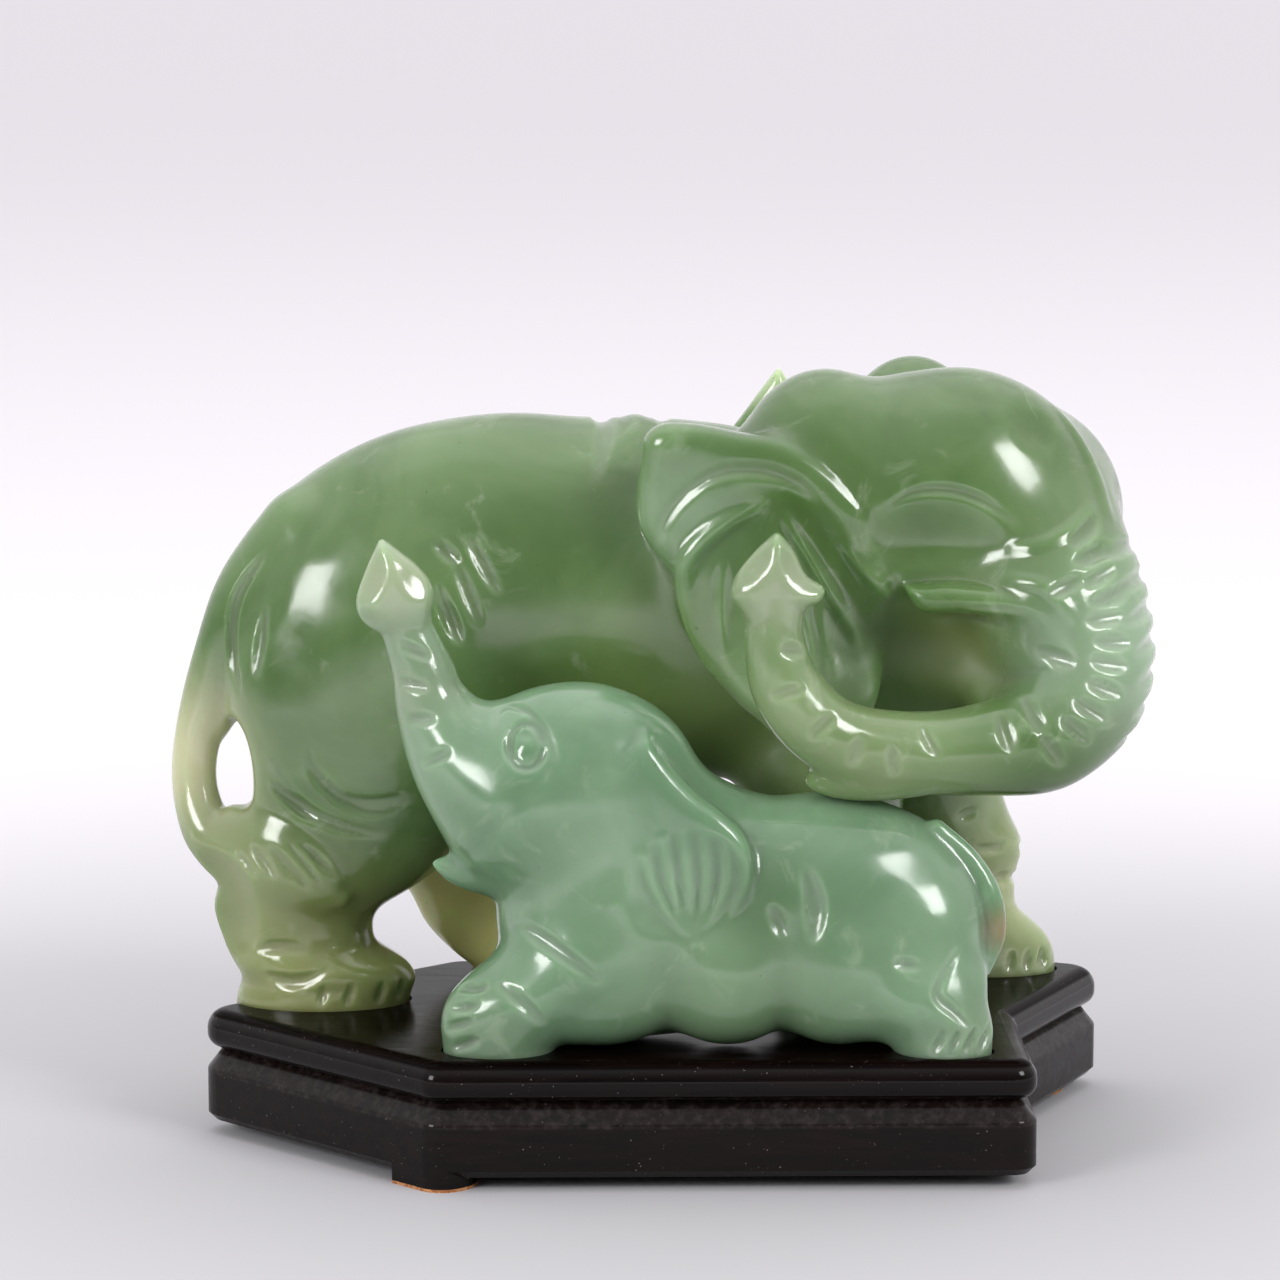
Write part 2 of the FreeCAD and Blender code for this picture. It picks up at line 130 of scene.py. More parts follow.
class Stone:
    """Distances from the surface of one stone; below zero is inside."""

    def __init__(self, low, high):
        self.low = np.array(low, np.float32)
        counts = np.ceil((np.array(high) - self.low) / VOXEL).astype(int) + 1
        self.field = np.full(counts, FAR, np.float32)
        self.worked = np.zeros(counts, np.float32)

    def window(self, low, high):
        """The part of the grid inside a box: its slices and its x, y and z."""
        first = np.maximum(np.floor((np.array(low) - self.low) / VOXEL).astype(int), 0)
        last = np.ceil((np.array(high) - self.low) / VOXEL).astype(int) + 1
        last = np.maximum(np.minimum(last, self.field.shape), first)
        axes = [np.float32(self.low[i]) + VOXEL * np.arange(first[i], last[i], dtype=np.float32)
                for i in range(3)]
        where = tuple(slice(a, b) for a, b in zip(first, last))
        return where, axes[0][:, None, None], axes[1][None, :, None], axes[2][None, None, :]

    def add(self, where, distance, reach):
        """Join a shape to the stone, blended over reach."""
        self.field[where] = soft_min(self.field[where], distance, reach)

    def cut(self, where, distance, reach):
        """Take a shape away from the stone, its edge rounded over reach."""
        self.field[where] = -soft_min(-self.field[where], distance, reach)

    def mass(self, centre, radii, lean=0, reach=4, carve=False):
        """Ellipsoid, leaning about Y in degrees, joined or carved away."""
        radii = np.array(radii, float)
        extent = np.full(3, radii.max()) if lean else radii
        extent = extent + reach + 1
        where, x, y, z = self.window(centre - extent, centre + extent)
        x, y, z = x - centre[0], y - centre[1], z - centre[2]
        c, s = math.cos(math.radians(lean)), math.sin(math.radians(lean))
        x, z = x * c - z * s, x * s + z * c
        size = np.sqrt((x / radii[0]) ** 2 + (y / radii[1]) ** 2 + (z / radii[2]) ** 2)
        slope = np.sqrt((x / radii[0] ** 2) ** 2 + (y / radii[1] ** 2) ** 2
                        + (z / radii[2] ** 2) ** 2)
        distance = size * (size - 1) / np.maximum(slope, 1e-6)
        (self.cut if carve else self.add)(where, distance, reach)

    def tube_distance(self, path, radii, flat, reach):
        """Window round a path and the distance from round cones strung along it."""
        spread = radii.max() + reach + 1
        where = self.window(path.min(0) - spread, path.max(0) + spread)[0]
        whole = np.full([part.stop - part.start for part in where], FAR, np.float32)
        corner = np.array([part.start for part in where])
        for a, b, ra, rb in zip(path[:-1], path[1:], radii[:-1], radii[1:]):
            near = max(ra, rb) + reach + 1
            piece, px, py, pz = self.window(np.minimum(a, b) - near, np.maximum(a, b) + near)
            local = tuple(slice(max(p.start - c, 0), max(p.stop - c, 0))
                          for p, c in zip(piece, corner))
            run = b - a
            run[1] *= flat
            square = max(float(run @ run), 1e-9)
            dx, dy, dz = px - a[0], (py - a[1]) * flat, pz - a[2]
            along = np.clip((dx * run[0] + dy * run[1] + dz * run[2]) / square, 0, 1)
            gap = np.sqrt((dx - along * run[0]) ** 2 + (dy - along * run[1]) ** 2
                          + (dz - along * run[2]) ** 2) - (ra + (rb - ra) * along)
            whole[local] = np.minimum(whole[local], gap)
        return where, whole

    def limb(self, stations, reach=3, flat=1.0):
        """Tapering limb through stations of x, y, z and radius; flat above 1 thins it along Y."""
        count = max(8, int(path_length(np.array(stations)[:, :3])))
        smooth = spline(stations, count)
        where, distance = self.tube_distance(smooth[:, :3], smooth[:, 3], flat, reach)
        self.add(where, distance, reach)

    def fan(self, outline, middle, half, taper, reach):
        """Plate in X and Z, its middle at Y = middle(x, z), of half thickness half. It thins within
        taper of its closed outline."""
        edge = spline(np.vstack([outline, outline[:1]]), 90)
        low, high = edge.min(0) - 4, edge.max(0) + 4
        where, x, y, z = self.window((low[0], -BEYOND, low[1]), (high[0], BEYOND, high[1]))
        flat = outline_distance(x[:, 0, 0], z[0, 0, :], edge)[:, None, :]
        inward = np.clip(-flat / taper, 0, 1)
        thick = half * (THIN_EDGE + (1 - THIN_EDGE) * np.sqrt(inward * (2 - inward)))
        across = np.abs(y - middle(x, z)) - thick + EDGE_ROUND
        flat = flat + EDGE_ROUND
        outside = np.hypot(np.maximum(flat, 0), np.maximum(across, 0))
        distance = outside + np.minimum(np.maximum(flat, across), 0) - EDGE_ROUND
        self.add(where, distance.astype(np.float32), reach)

    def sample(self, points, values=None):
        """Distances, or other values on the same grid, interpolated at points."""
        values = self.field if values is None else values
        at = np.clip((points - self.low) / VOXEL, 0, np.array(values.shape) - 1.001)
        base = at.astype(int)
        share = at - base
        total = np.zeros(len(points))
        for corner in np.ndindex(2, 2, 2):
            weight = np.prod(np.where(corner, share, 1 - share), axis=1)
            total += weight * values[tuple((base + corner).T)]
        return total

    def normals(self, points):
        """Unit directions out of the stone at points near its surface."""
        slope = np.stack([self.sample(points + step) - self.sample(points - step)
                          for step in np.eye(3) * VOXEL], axis=1)
        return slope / np.maximum(np.linalg.norm(slope, axis=1, keepdims=True), 1e-6)

    def project(self, places, side):
        """Where straight lines from one side first meet the stone, for pairs of coordinates."""
        axis, sign = SIDES[side]
        others = [i for i in range(3) if i != axis]
        span = self.field.shape[axis] * VOXEL
        depths = np.arange(0, span, VOXEL / 2)
        start = self.low[axis] if sign > 0 else self.low[axis] + span - VOXEL
        found = []
        for place in places:
            line = np.zeros((len(depths), 3))
            line[:, others] = place
            line[:, axis] = start + sign * depths
            values = self.sample(line)
            inside = np.flatnonzero(values < 0)
            if len(inside) and inside[0] > 0:
                after = inside[0]
                share = values[after - 1] / (values[after - 1] - values[after])
                found.append(line[after - 1] + share * (line[after] - line[after - 1]))
        return np.array(found).reshape(-1, 3)

    def stroke(self, places, width, depth, side="front", even=2.0, ridge=False):
        """Wheel cut or raised rib along a path seen from one side. Width is the tool's radius;
        the depth fades to nothing at both ends, later for a larger even."""
        count = max(6, int(path_length(places) / STROKE_STEP))
        points = unbroken(self.project(spline(places, count), side))
        if len(points) < 4:
            return
        points = steady(points)
        share = np.linspace(-1, 1, len(points))
        amount = depth * (1 - np.abs(share) ** even)
        away = steady(self.normals(points))
        away *= ((width - amount) / np.linalg.norm(away, axis=1))[:, None]
        centres = points - away if ridge else points + away
        where, distance = self.tube_distance(centres, np.full(len(centres), float(width)), 1, 1)
        if ridge:
            self.add(where, distance, CRISP * 3)
            return
        self.cut(where, distance, CRISP)
        frost = np.clip(FROST_REACH - distance, 0, 1)
        self.worked[where] = np.maximum(self.worked[where], frost)

    def facet(self, place, facing, size, depth):
        """Nearly flat cut at a place seen from the front, facing a given way."""
        point = self.project([place], "front")
        if not len(point):
            return
        facing = np.array(facing, float) / np.linalg.norm(facing)
        self.mass(point[0] + facing * (size - depth), (size, size, size), reach=0.5, carve=True)

    def soften(self, times):
        """Blur that takes the creases out, as polishing does."""
        for _ in range(times):
            for axis in range(3):
                self.field = (np.roll(self.field, 1, axis) + 2 * self.field
                              + np.roll(self.field, -1, axis)) / 4

    def ripple(self, height, length):
        """Gentle hand-polished waviness of the whole surface."""
        _, x, y, z = self.window(self.low, self.low + BEYOND)
        for scale, (phase_x, phase_y, phase_z) in RIPPLES:
            wave = length * scale
            self.field += (height * scale * np.sin(x / wave + phase_x)
                           * np.sin(y / wave + phase_y) * np.sin(z / wave + phase_z))

    def level(self, height):
        """Cut everything below one height."""
        _, _, _, z = self.window(self.low, self.low + BEYOND)
        self.field = np.maximum(self.field, height - z)


def outline_distance(xs, zs, edge):
    """Signed distance in a plane from a closed polygon; below zero is inside."""
    px, pz = xs[:, None], zs[None, :]
    best = np.full((len(xs), len(zs)), 1e9)
    inside = np.zeros((len(xs), len(zs)), bool)
    for (ax, az), (bx, bz) in zip(edge[:-1], edge[1:]):
        ex, ez = bx - ax, bz - az
        along = np.clip(((px - ax) * ex + (pz - az) * ez) / max(ex * ex + ez * ez, 1e-9), 0, 1)
        best = np.minimum(best, (px - ax - along * ex) ** 2 + (pz - az - along * ez) ** 2)
        if az != bz:
            crosses = ((az > pz) != (bz > pz)) & (px < ex * (pz - az) / ez + ax)
            inside ^= crosses
    return np.where(inside, -1, 1) * np.sqrt(best)


# ------------------------------------------------------------------------------------------------
# Limbs and cuts that both animals share
# ------------------------------------------------------------------------------------------------

# The carved feet stand on the floors of the sockets in the top board.
FOOT_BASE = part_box("cow_carving")[0].z / MM


def pillar_shape(stations, zs):
    """Centre X, centre Y and both radii of an upright limb at each height."""
    smooth = spline(stations, 240)
    return [np.interp(zs, smooth[:, 0], smooth[:, column]) for column in range(1, 5)]


def pillar(stone, stations, reach):
    """Upright limb through ovals: height, centre X and Y, and the radii along X and Y."""
    table = np.array(stations, float)
    middle, spread = table[:, 1:3], table[:, 3:5]
    low = np.append((middle - spread).min(0) - reach - 1, FOOT_BASE - 1)
    high = np.append((middle + spread).max(0) + reach + 1, table[-1, 0] + 1)
    where, x, y, z = stone.window(low, high)
    cx, cy, rx, ry = pillar_shape(table, z[0, 0, :])
    distance = -soft_min(-oval(x - cx, y - cy, rx, ry), table[-1, 0] - z, PILLAR_TOP_ROUND)
    stone.add(where, distance.astype(np.float32), reach)


def spokes(stone, hub, centres, length, width, depth):
    """Short cuts that point at a hub, such as the wrinkles across a trunk."""
    for centre in np.array(centres, float):
        out = centre - hub
        out *= 0.5 * length / np.linalg.norm(out)
        stone.stroke([centre - out, centre, centre + out], width, depth)


def toes(stone, places, side):
    """Short upright cuts between the toes of a foot, at places along the viewed axis."""
    for place in places:
        stone.stroke([(place, 21.8), (place + 0.6, 23.6), (place + 1.0, 25.8)], 0.9, 0.65, side)


def eye(stone, centre, radii, side="front"):
    """Ring cut round a low rounded eyeball."""
    angles = np.linspace(0, 2 * math.pi, 25)
    ring = [(centre[0] + radii[0] * math.cos(angle), centre[1] + radii[1] * math.sin(angle))
            for angle in angles]
    half = len(ring) // 2
    stone.stroke(ring[:half + 2], 0.9, 0.6, side, 8)
    stone.stroke(ring[half - 1:], 0.9, 0.6, side, 8)
    stone.stroke([(centre[0] - 0.2, centre[1]), centre, (centre[0] + 0.2, centre[1])], 1.5, 0.5,
                 side, 8, ridge=True)


# ------------------------------------------------------------------------------------------------
# The cow. Millimetres in the row frame: she faces +X with her head turned towards -Y.
# ------------------------------------------------------------------------------------------------

# Centre, radii, lean and blend of each rounded mass.
COW_MASSES = (
    ((-24, 19, 87), (47.5, 22, 33), 0, 1),
    ((6, 20, 88), (34, 20, 30.5), 0, 8),
    ((-50, 10, 70), (22.5, 12.5, 31), 0, 7),
    ((-43, 29, 70), (22, 11, 30), 0, 7),
    ((46, 6, 103), (31, 19, 25.5), 0, 6),
    ((29, 4, 112), (15, 14, 17), 0, 3),
    ((52, 4, 110), (18, 15, 18), 0, 3),
    ((44, 22, 112), (13, 10, 17.5), 0, 3),
    ((60, 14, 104), (19, 13, 19), 0, 4),
    ((66, -4, 86), (16.5, 15, 22), 0, 8),
    ((42, 9, 79), (22, 13, 17), 0, 6),
    ((13, 6, 101), (13.5, 11, 16), 0, 5),
)

# Height, centre X, centre Y, radius along X and radius along Y, from the socket upwards.
COW_LEGS = (
    ((FOOT_BASE, -56.4, 8, 14.8, 10), (22, -56.2, 8, 14.8, 10), (25, -55.4, 8, 14.8, 10),
     (27.5, -56.7, 8, 14.6, 10), (29.2, -58.4, 8.5, 13.8, 9.8), (31.5, -60.3, 9, 12.8, 9.6),
     (36.5, -60.8, 9.5, 13.8, 10), (40.5, -58, 10, 16, 11), (46, -54, 10.5, 18.2, 11.6),
     (56, -50.5, 11, 19.8, 12.2), (66, -49.5, 11, 20.5, 12.4)),
    ((FOOT_BASE, -20.5, 31, 11, 8), (22, -20.8, 31, 11, 8), (25, -24, 31, 11.6, 8),
     (29.5, -28, 31, 12, 8.2), (35.5, -30, 31, 13, 8.6), (44, -33, 30, 15, 9.6),
     (60, -38, 29, 18, 10.5)),
    ((FOOT_BASE, 58, 33, 12.3, 7.6), (22, 58, 33, 12.3, 7.6), (25, 57.8, 33, 12, 7.6),
     (28, 56.6, 33, 11.4, 7.6), (30.5, 55, 32.5, 10.4, 7.5), (33, 54, 32, 9.4, 7.6),
     (38.5, 54, 32, 9.4, 8), (44, 53.6, 31, 10.4, 9), (50.5, 49.5, 30, 11.6, 10),
     (60, 45, 28, 13.6, 11), (74, 40, 24, 17, 12)),
    ((FOOT_BASE, 32, 10.5, 11.5, 8), (22, 32, 10.5, 11.5, 8), (26, 31.6, 10.5, 11.2, 8),
     (30, 31.2, 11, 9.9, 8), (38, 31, 11.5, 10, 8.4), (48, 30, 12, 12, 9.4),
     (68, 26, 14, 17, 12)),
)

COW_TRUNK = ((66, -5, 90, 13.5), (70.3, -9, 79, 11.6), (64.5, -15, 71, 9.6), (54, -19.5, 69, 7.6),
             (41, -23, 68.9, 6.5), (29, -25, 71.8, 6.2), (21.6, -26, 79.5, 5.7),
             (19.4, -26, 87.5, 4.9), (19.6, -26, 92, 4.4))
COW_TAIL = ((-64, 14, 97, 4.2), (-72.4, 14, 82, 4.3), (-76.9, 13.5, 69, 4.1), (-78.2, 12.5, 58, 4),
            (-75.6, 10, 49.5, 4.5), (-69, 6, 45, 5))
TAIL_TUFT = (
    ((-71, 8, 46.5, 5), (-65, 3.5, 44.6, 5), (-58, 0.8, 42.6, 3.8), (-52.6, -0.4, 40, 1.2)),
    ((-70, 8, 50.5, 4), (-64, 2.6, 49.4, 3.8), (-58, 0, 46.6, 2.6), (-54, -0.8, 43.6, 1)),
)
TAIL_ROOT = ((-60, 14, 100, 7), (-68.5, 14, 88, 6.6), (-72, 13.6, 76, 4.6), (-74.6, 13.4, 69, 3))

NEAR_EAR = ((-2, 115), (-1.5, 118.5), (1.5, 120.6), (7.5, 120.6), (14, 119.5), (22, 118), (30, 112),
            (36, 104), (39, 94), (39, 83), (36, 73), (31, 66.5), (26.5, 64), (22, 67), (18, 70.8),
            (14.2, 73.8), (10.5, 78), (7, 83.5), (4.6, 89.5), (3.4, 95), (0, 99.5), (-2.5, 103.5),
            (-3, 109))
FAR_EAR = ((21.5, 127), (17, 121), (11.5, 113), (7, 103), (6, 93), (10, 84), (18, 79), (27, 82),
           (33, 92), (34, 105), (30, 115), (25.5, 120))
TUSK = ((40.5, 95), (50.5, 95.2), (62, 93.2), (67.5, 90.4), (59, 89.8), (50.5, 90.3), (43.6, 90.6))

COW_TRUNK_TIP = ((19.8, 105.4), (16.6, 102.4), (13.4, 98.4), (12.4, 95), (14, 92.4), (16, 90.4),
                 (23, 90.6), (24.2, 92.6), (27, 94.2), (27.4, 96.4), (24.6, 98.2), (22.4, 102.4))

# Hubs that the wrinkles of the cow's trunk point at.
TRUNK_ROOT_HUB = (52, 88)
TRUNK_CURL_HUB = (37, 84)
ROOT_WRINKLES = ((70.5, 103.5), (72, 100.3), (72.6, 96.8), (67, 95.5), (74.3, 93.2), (73.5, 90.2),
                 (74.8, 86.4), (74, 83), (65.4, 84), (73.4, 79), (71, 75.8), (61.4, 75),
                 (68.6, 72.6), (57, 72.4), (64.6, 69.4))
CURL_WRINKLES = ((23, 86.5), (21.4, 80), (27, 74.4), (32.5, 70.2), (38.6, 68.6), (44.6, 71.4))


def near_ear_middle(x, z):
    """Y of the middle of the cow's near ear."""
    return -4.9 - 0.1 * (x - 2) - 0.02 * (z - 92)


def far_ear_middle(x, z):
    """Y of the middle of the cow's far ear."""
    return 35.8 - 0.06 * (z - 100)


def shape_cow():
    """Body, legs and ears, with the gap between the tail and the rump."""
    cow = Stone((-86, -42, FOOT_BASE - 1), (86, 45, 132))
    for centre, radii, lean, reach in COW_MASSES:
        cow.mass(centre, radii, lean, reach=reach)
    for leg in COW_LEGS:
        pillar(cow, leg, 5)
    cow.mass((-70.6, 12, 61), (3.2, 20, 8.6), -6, reach=2, carve=True)
    cow.fan(NEAR_EAR, near_ear_middle, 4.2, 4.0, 3)
    cow.fan(FAR_EAR, far_ear_middle, 3.2, 7.0, 2.5)
    return cow


def carve_cow_head(cow):
    """Ear bowl, brow, cheek, mouth and tusk."""
    cow.mass((20, -14.5, 91), (16.5, 6.5, 23), -20, reach=1.2, carve=True)
    cow.mass((45, -20, 101.5), (16, 9, 7), 4, reach=4, carve=True)
    cow.mass((46, -17, 84), (19, 11.5, 8.8), 4, reach=5, carve=True)
    cow.mass((19, 42, 98), (10.5, 5.4, 15), 6, reach=1.5, carve=True)
    cow.fan(TUSK, lambda x, z: -12.5 - 0.1 * (x - 42), 3.6, 3.0, 0.9)


def carve_cow_trunk(cow):
    """Trunk, its tip, and the pad where it rests on the calf."""
    cow.limb(COW_TRUNK, 3)
    cow.fan(COW_TRUNK_TIP, lambda x, z: -26, 4.2, 5.0, 1.0)
    cow.mass((34, -22.4, 64), (9.5, 4.5, 3.4), 2, reach=3)
    cow.facet((16.5, 100.5), (-0.5, -0.75, 0.4), size=16, depth=0.8)
    cow.facet((22, 100.5), (0.55, -0.8, 0.25), size=16, depth=0.7)


def detail_ears(cow):
    """Rims and ribs of both ears."""
    cow.stroke([(0, 100.5), (2, 105.5), (5, 109.5), (9.5, 112.5), (14, 113.5), (19.5, 113),
                (24, 111), (27, 108)], 1.2, 0.7, even=4)
    cow.stroke([(18.5, 108), (13, 105.5), (8.5, 102.3), (5.4, 98.5), (4.8, 94.5), (5.8, 88.5),
                (8, 82.5), (11.5, 77)], 1.6, 1.2, ridge=True, even=4)
    cow.stroke([(11.5, 98.5), (11, 90.5), (11.6, 84)], 1.1, 0.8, ridge=True)
    cow.stroke([(21, 106.5), (26, 98.5), (30.5, 91), (33, 86.5), (34, 82)], 1.2, 1.0, ridge=True,
               even=4)
    cow.stroke([(20, 101), (23.5, 93), (26, 84), (26.6, 77)], 0.9, 0.6, ridge=True)
    cow.stroke([(27.5, 91), (29, 82.5), (30, 78)], 0.8, 0.5, ridge=True)
    cow.stroke([(31, 101), (35, 96.5), (39, 92.5)], 0.9, 0.5, ridge=True)
    cow.stroke([(9.5, 106), (8.6, 96), (12, 87), (19, 82.6), (26, 85.4), (30.6, 94), (31, 104),
                (27, 114)], 1.5, 1.0, "back", ridge=True, even=4)
    for path in (((14.5, 107), (14, 98), (16, 90)), ((19.5, 110), (19.6, 99), (19.6, 89)),
                 ((24.6, 108), (25.4, 98), (23.6, 90))):
        cow.stroke(path, 1.3, 1.1, "back", ridge=True)


def detail_cow_head(cow):
    """Brow, cheek and mouth lines, the wrinkles of the trunk, and the far eye."""
    cow.stroke([(38, 107.5), (42, 110), (47, 110.6), (52, 109.5), (56, 107.4), (59, 105)], 1.2, 0.6)
    cow.stroke([(58, 101), (63.5, 102), (69, 104.6), (72, 107.5)], 1.6, 0.5, ridge=True)
    cow.stroke([(57, 96.5), (64, 95.2), (68, 90)], 1.4, 0.6, ridge=True)
    cow.stroke([(51, 91.6), (56, 91.8), (61, 91.2)], 0.7, 0.35)
    cow.stroke([(46, 88), (52, 88.6), (58, 88.2)], 0.8, 0.4)
    cow.stroke([(65, 124.5), (70, 118), (73, 112), (75, 105)], 2.2, 0.6, ridge=True, even=4)
    spokes(cow, TRUNK_ROOT_HUB, ROOT_WRINKLES, 6.4, 1.9, 0.8)
    spokes(cow, TRUNK_CURL_HUB, CURL_WRINKLES, 5.6, 1.5, 0.6)
    for height in range(70, 104, 5):
        cow.stroke([(-17, height - 1), (-8, height + 0.8), (2, height - 0.6)], 2.0, 0.8, "right")
    eye(cow, (59, 107.5), (3.6, 3.2), "back")
    cow.stroke([(53, 109), (56, 112.4), (61, 112.8), (65, 110)], 1.1, 0.5, "back")
    cow.stroke([(64, 103), (60, 99.6), (54, 99)], 1.3, 0.5, "back")


def detail_cow_body(cow):
    """Cuts on the near flank, haunch, tail and feet."""
    for path in (((-36, 93.5), (-33, 84.5)), ((-33, 97.5), (-28.6, 86.5)),
                 ((-36.4, 100.5), (-32.6, 97)), ((-31, 101.4), (-25.6, 92)),
                 ((-34.6, 90.4), (-32, 83.6))):
        cow.stroke(path, 1.5, 0.75)
    cow.stroke([(-65.5, 97.5), (-69.5, 91.5), (-71, 86.5), (-71, 80), (-69.6, 74)], 1.3, 0.8,
               even=4)
    cow.stroke([(-65, 89), (-66, 83), (-66.8, 77)], 1.6, 0.7)
    cow.stroke([(-58, 65.5), (-56.5, 61.5), (-51.5, 57), (-46, 55.5), (-40, 57.5)], 1.8, 0.8)
    cow.stroke([(-64.5, 64), (-59.5, 56.5), (-53.5, 53), (-45, 51)], 1.8, 0.8)
    cow.stroke([(-64.5, 60), (-61, 56.6), (-56.4, 53.6)], 1.6, 1)
    cow.stroke([(-52, 57.8), (-46, 57), (-41.6, 58)], 1.2, 0.6)
    cow.stroke([(-67.5, 31), (-63, 31.8), (-58, 31.3)], 1.6, 0.7)
    cow.stroke([(-66, 27), (-60, 26), (-54.6, 28.4)], 1.8, 0.8)
    cow.stroke([(-60, 23.8), (-52, 24.4)], 1.4, 0.4)
    for path in (((-61.5, 50), (-55.5, 42.5)), ((-64.5, 49.5), (-60.4, 43.4)),
                 ((-58, 49), (-53.4, 44)), ((-67.6, 49), (-63.4, 43.6)),
                 ((-70.4, 48), (-66.8, 43.4)), ((-63, 48.4), (-57.6, 41.6)),
                 ((-59.6, 50), (-54.4, 45))):
        cow.stroke(path, 0.8, 0.45)
    toes(cow, (-56.4, -51.8, -46.6, -43.4), "front")
    cow.stroke([(52, 50), (54, 50.6), (55.5, 51.5)], 1.4, 0.7)
    cow.stroke([(58.5, 38), (60.5, 38.4), (62, 38)], 1.4, 0.8)
    cow.stroke([(55, 44.6), (58.5, 44), (61, 45)], 1.3, 0.6)
    toes(cow, (61.5, 64.5, 67), "front")


def detail_far_side(cow):
    """Cuts on the side that faces +Y, and on the fronts of the feet."""
    for path in (((-36, 94), (-32, 84)), ((-30.4, 98), (-27, 87)), ((-25.6, 94), (-23.4, 86)),
                 ((-60, 62), (-52, 56.4), (-43, 55.4), (-34, 58)),
                 ((-57, 55.6), (-48, 51), (-39, 51.6)),
                 ((-4, 84), (2, 74), (4, 66)), ((36, 60), (42, 55), (50, 54)),
                 ((47, 46.4), (53, 44.4), (60, 45.6)), ((48, 40.4), (54, 38.6), (59, 39.8)),
                 ((-38, 40), (-31, 37), (-23, 38.4))):
        cow.stroke(path, 1.9, 1.1, "back")
    toes(cow, (-25, -20, -15.5, 55, 60, 65), "back")
    toes(cow, (5.5, 10.5, 15.5, 28.5, 33, 37.5), "right")
    cow.stroke([(6, 37), (10.5, 35.6), (15, 37)], 1.3, 0.6, "right")
    cow.stroke([(28, 44), (32, 42.6), (36, 44)], 1.3, 0.6, "right")
    cow.stroke([(28, 38.6), (32, 37.4), (36, 38.6)], 1.3, 0.6, "right")


def fold_neck(cow):
    """Roll of skin across the back behind the ears, between two creases, cut from above."""
    cow.stroke([(-9.6, 4), (-8.0, 14), (-9.4, 25), (-7.0, 33)], 2.4, 0.9, "top")
    cow.stroke([(-4.4, 8), (-3.0, 17), (-4.6, 28)], 3.0, 0.7, "top", ridge=True)
    cow.stroke([(2.4, 12), (1.2, 21), (2.8, 30)], 2.0, 0.5, "top")


def carve_cow():
    """The whole cow: body and hollows first, then the limbs, and the fine cuts last."""
    cow = shape_cow()
    carve_cow_head(cow)
    detail_ears(cow)
    carve_cow_trunk(cow)
    cow.limb(COW_TAIL, 2, 1.1)
    cow.limb(TAIL_ROOT, 3)
    for lock in TAIL_TUFT:
        cow.limb(lock, 2.5, 1.2)
    cow.facet((-68, 33), (-0.8, -0.6, 0.1), size=24, depth=0.7)
    cow.facet((62, 118), (0.5, -0.6, 0.62), size=22, depth=0.5)
    cow.ripple(0.27, 7.3)
    cow.soften(2)
    detail_cow_head(cow)
    detail_cow_body(cow)
    detail_far_side(cow)
    fold_neck(cow)
    cow.level(FOOT_BASE)
    return cow


# ------------------------------------------------------------------------------------------------
# The calf. She stands in front of the cow with her head towards -X and her trunk raised.
# ------------------------------------------------------------------------------------------------

CALF_MASSES = (
    ((27, -20, 41.6), (27.5, 14, 20), 0, 1),
    ((0, -20, 44), (24, 15, 22.5), 0, 5),
    ((-10, -21, 41.5), (15, 13, 20), 0, 5),
    ((-13, -21, 62), (21, 14, 18), 0, 4),
    ((-9, -28, 33.4), (14.5, 8.4, 12.1), 0, 3),
    ((12, -26.4, 33.6), (12.6, 9.6, 12.3), 0, 3),
    ((30.5, -27, 33.4), (12.4, 9.2, 12.1), 0, 3),
    ((-15, -28, 30), (8.5, 7, 8), 0, 2),
    ((38.5, -28, 29.6), (8.5, 7, 7.6), 0, 2),
    ((41, -24, 38), (12.5, 10, 13.5), 20, 3),
)
CALF_LEGS = (
    ((FOOT_BASE, -25.5, -30, 8.6, 6.2), (22, -25.6, -30, 8.6, 6.2), (26, -24.6, -30, 9.8, 6.6),
     (30, -21.5, -29.6, 11.6, 7.2), (35, -16, -28, 13.4, 8.2), (41, -10, -25, 14, 10)),
    ((FOOT_BASE, -17, -13.5, 7.6, 5.4), (22, -17, -13.5, 7.6, 5.4), (28, -15, -14, 8.4, 6),
     (38, -9, -17, 11, 8)),
    ((FOOT_BASE, 47.3, -30.5, 7.6, 5.4), (22, 47.3, -30.5, 7.6, 5.4), (25, 47, -30.3, 7.9, 5.6),
     (29, 44.6, -29.4, 9.6, 6.6), (34, 42.6, -27.4, 12.2, 8), (40, 39, -25, 14, 9.5)),
    ((FOOT_BASE, 42, -13, 7.6, 5.4), (22, 42, -13, 7.6, 5.4), (29, 40.5, -14, 8.2, 6),
     (40, 35, -17, 12, 9)),
)
CALF_TRUNK = ((-22, -22, 60, 13), (-30, -22, 67, 9.4), (-35.6, -22, 75.5, 6.2),
              (-37.5, -22, 82, 5), (-39.9, -22, 88.5, 4.2), (-41.6, -22, 92, 4))
CALF_LIP = ((-17, -22, 53, 6.5), (-25, -22, 49.6, 4.6), (-31, -22, 49.2, 2.9),
            (-35.4, -22, 50.2, 0.9))
CALF_TAIL = ((46, -22, 56.4, 1.4), (51.6, -22.6, 51, 1.7), (54.8, -23.4, 45, 2),
             (55.4, -24, 39, 2), (54, -24.6, 33.6, 1.2))
CALF_EAR = ((-1, 73), (3, 67.5), (7, 63.4), (11, 60.6), (14.5, 57), (16, 52.3), (15.2, 47.4),
            (12.6, 43.4), (9.5, 40.6), (5.6, 38), (1, 40.8), (-3, 45.5), (-6, 50), (-9, 56),
            (-10, 62), (-7, 69))
